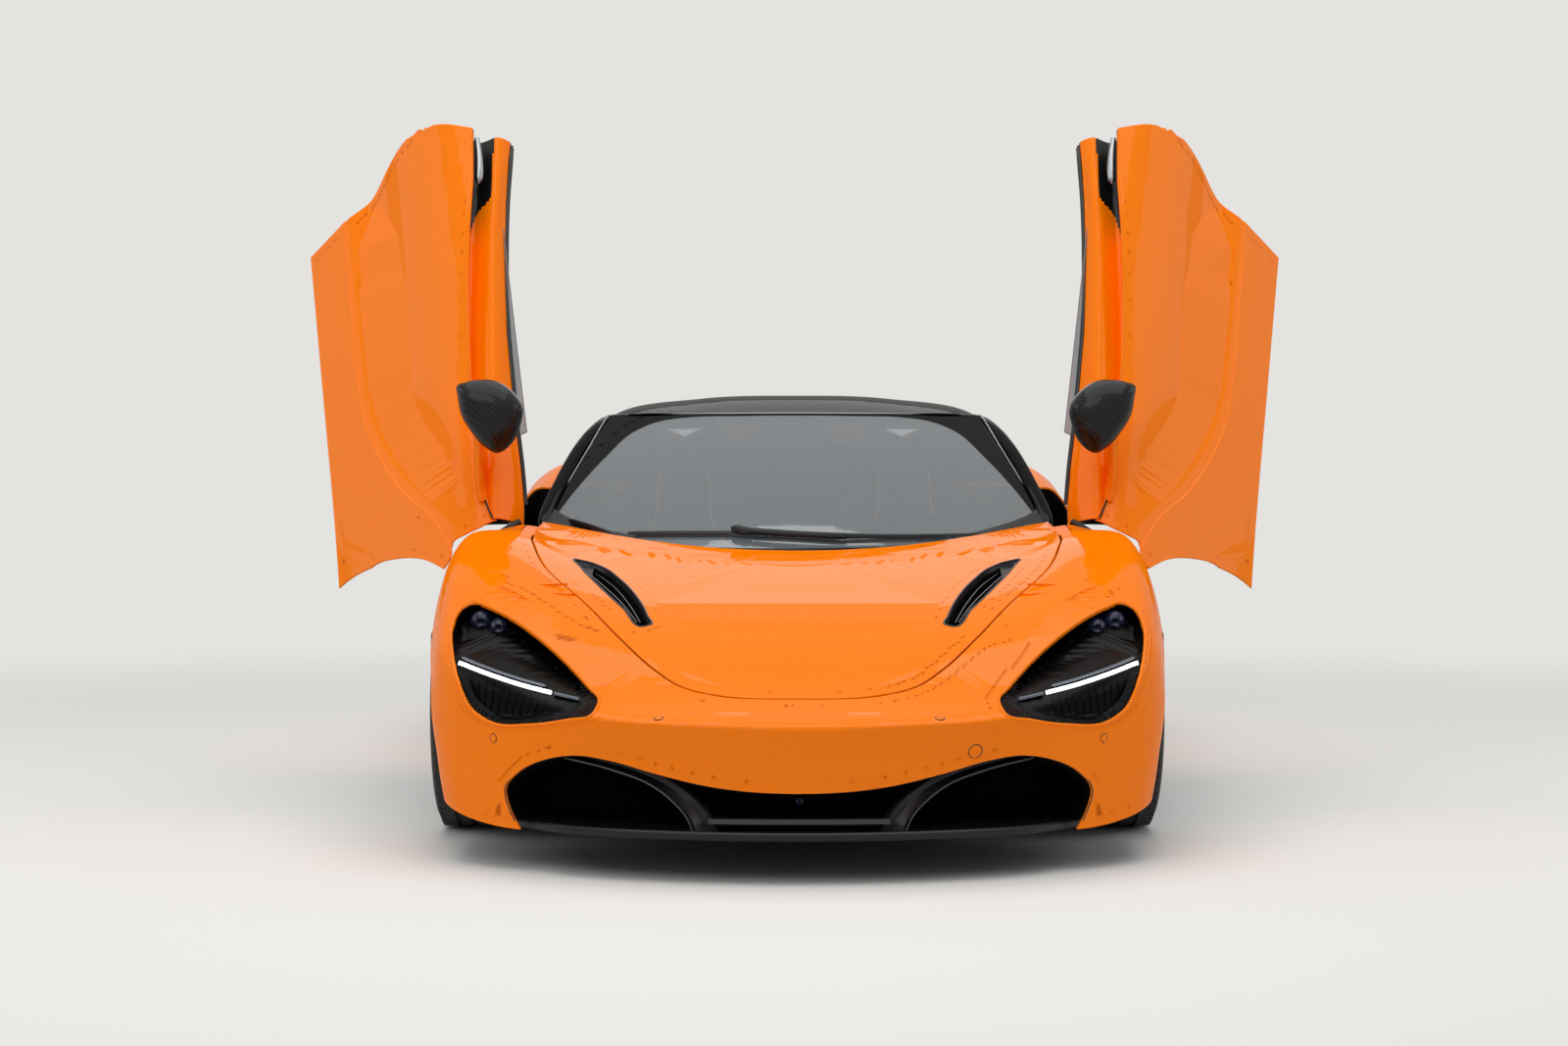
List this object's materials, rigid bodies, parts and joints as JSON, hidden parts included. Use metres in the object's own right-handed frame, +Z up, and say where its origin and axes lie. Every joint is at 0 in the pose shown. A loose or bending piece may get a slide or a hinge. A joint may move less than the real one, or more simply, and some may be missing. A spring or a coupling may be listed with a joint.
{
  "type": "mid-engined two-seat sports coupe",
  "caption": "Low two-seat coupe with a mid-mounted engine, wide wheel arches and two doors that swing up and out; wheels roll and steer.",
  "frame": {"origin": "on the ground at mid-length on the centre line, below the closed body", "axes": "+Z up, +Y to the tail, +X to the car's left side"},
  "size_m": [2.9832, 4.543, 1.9805],
  "materials": {
    "orange_paint": "high-gloss clear coat over bright orange",
    "gloss_black": "gloss black",
    "satin_black": "satin black",
    "trim_plastic": "grained black",
    "carbon": "lacquered twill weave",
    "lamp_black": "gloss black bowl",
    "red_lens": "clear red",
    "clear_glass": "clear",
    "dark_glass": "tinted",
    "dark_leather": "black hide with orange piping",
    "cast_metal": "cast",
    "forged_metal": "forged, satin",
    "rim_metal": "dark satin lacquer",
    "exhaust_steel": "brushed",
    "tyre_rubber": "black rubber"
  },
  "bodies": {
    "body": {"front_bumper": "orange_paint", "front_fenders": "orange_paint", "cowl": "satin_black", "headlamps": "lamp_black", "front_splitter": "satin_black", "intake_grille": "satin_black", "windscreen": "clear_glass", "roof_frame": "gloss_black", "rear_screen": "dark_glass", "rear_buttresses": "orange_paint", "engine_cover": "gloss_black", "rear_quarters": "orange_paint", "rear_bumper": "orange_paint", "side_skirts": "satin_black", "tub": "carbon", "luggage_bay": "trim_plastic", "engine_block": "cast_metal", "dashboard": "dark_leather", "steering_wheel": "dark_leather", "seats": "dark_leather", "front_axle": "forged_metal", "rear_axle": "forged_metal", "wheel_liners": "trim_plastic", "rear_grille": "satin_black", "exhausts": "exhaust_steel", "tail_lamps": "red_lens", "undertray": "satin_black"},
    "bonnet": {"bonnet": "orange_paint"},
    "rear_wing": {"rear_wing": "gloss_black"},
    "door_left": {"door_skin_left": "orange_paint", "door_inner_left": "trim_plastic", "door_glass_left": "clear_glass", "door_mirror_left": "carbon"},
    "knuckle_left": {"knuckle_left": "forged_metal"},
    "door_right": {"door_skin_right": "orange_paint", "door_inner_right": "trim_plastic", "door_glass_right": "clear_glass", "door_mirror_right": "carbon"},
    "knuckle_right": {"knuckle_right": "forged_metal"},
    "wheel_front_left": {"tyre_front_left": "tyre_rubber", "rim_front_left": "rim_metal"},
    "wheel_front_right": {"tyre_front_right": "tyre_rubber", "rim_front_right": "rim_metal"},
    "wheel_rear_left": {"tyre_rear_left": "tyre_rubber", "rim_rear_left": "rim_metal"},
    "wheel_rear_right": {"tyre_rear_right": "tyre_rubber", "rim_rear_right": "rim_metal"}
  },
  "joints": [
    {"name": "steer_left", "type": "hinge", "parent": "body", "child": "knuckle_left", "pos_m": [0.782, -1.1945, 0.327], "axis": [0, 0, 1], "range_deg": [-28, 28]},
    {"name": "roll_front_left", "type": "hinge", "parent": "knuckle_left", "child": "wheel_front_left", "pos_m": [0.837, -1.1945, 0.327], "axis": [1, 0, 0], "continuous": true},
    {"name": "roll_rear_left", "type": "hinge", "parent": "body", "child": "wheel_rear_left", "pos_m": [0.8145, 1.4755, 0.3455], "axis": [1, 0, 0], "continuous": true},
    {"name": "swing_door_left", "type": "hinge", "parent": "body", "child": "door_left", "pos_m": [0.806, -0.814, 0.801], "axis": [-0.7328, 0.5079, 0.4529], "range_deg": [0, 80]},
    {"name": "steer_right", "type": "hinge", "parent": "body", "child": "knuckle_right", "pos_m": [-0.782, -1.1945, 0.327], "axis": [0, 0, 1], "range_deg": [-28, 28]},
    {"name": "roll_front_right", "type": "hinge", "parent": "knuckle_right", "child": "wheel_front_right", "pos_m": [-0.837, -1.1945, 0.327], "axis": [1, 0, 0], "continuous": true},
    {"name": "roll_rear_right", "type": "hinge", "parent": "body", "child": "wheel_rear_right", "pos_m": [-0.8145, 1.4755, 0.3455], "axis": [1, 0, 0], "continuous": true},
    {"name": "swing_door_right", "type": "hinge", "parent": "body", "child": "door_right", "pos_m": [-0.806, -0.814, 0.801], "axis": [-0.7328, -0.5079, -0.4529], "range_deg": [0, 80]},
    {"name": "lift_bonnet", "type": "hinge", "parent": "body", "child": "bonnet", "pos_m": [0, -0.9, 0.73], "axis": [-1, 0, 0], "range_deg": [0, 55]},
    {"name": "tilt_wing", "type": "hinge", "parent": "body", "child": "rear_wing", "pos_m": [0, 2.084, 0.921], "axis": [1, 0, 0], "range_deg": [0, 50]}
  ],
  "couplings": [
    {"joint": "steer_right", "follows": "steer_left", "ratio": 1}
  ]
}
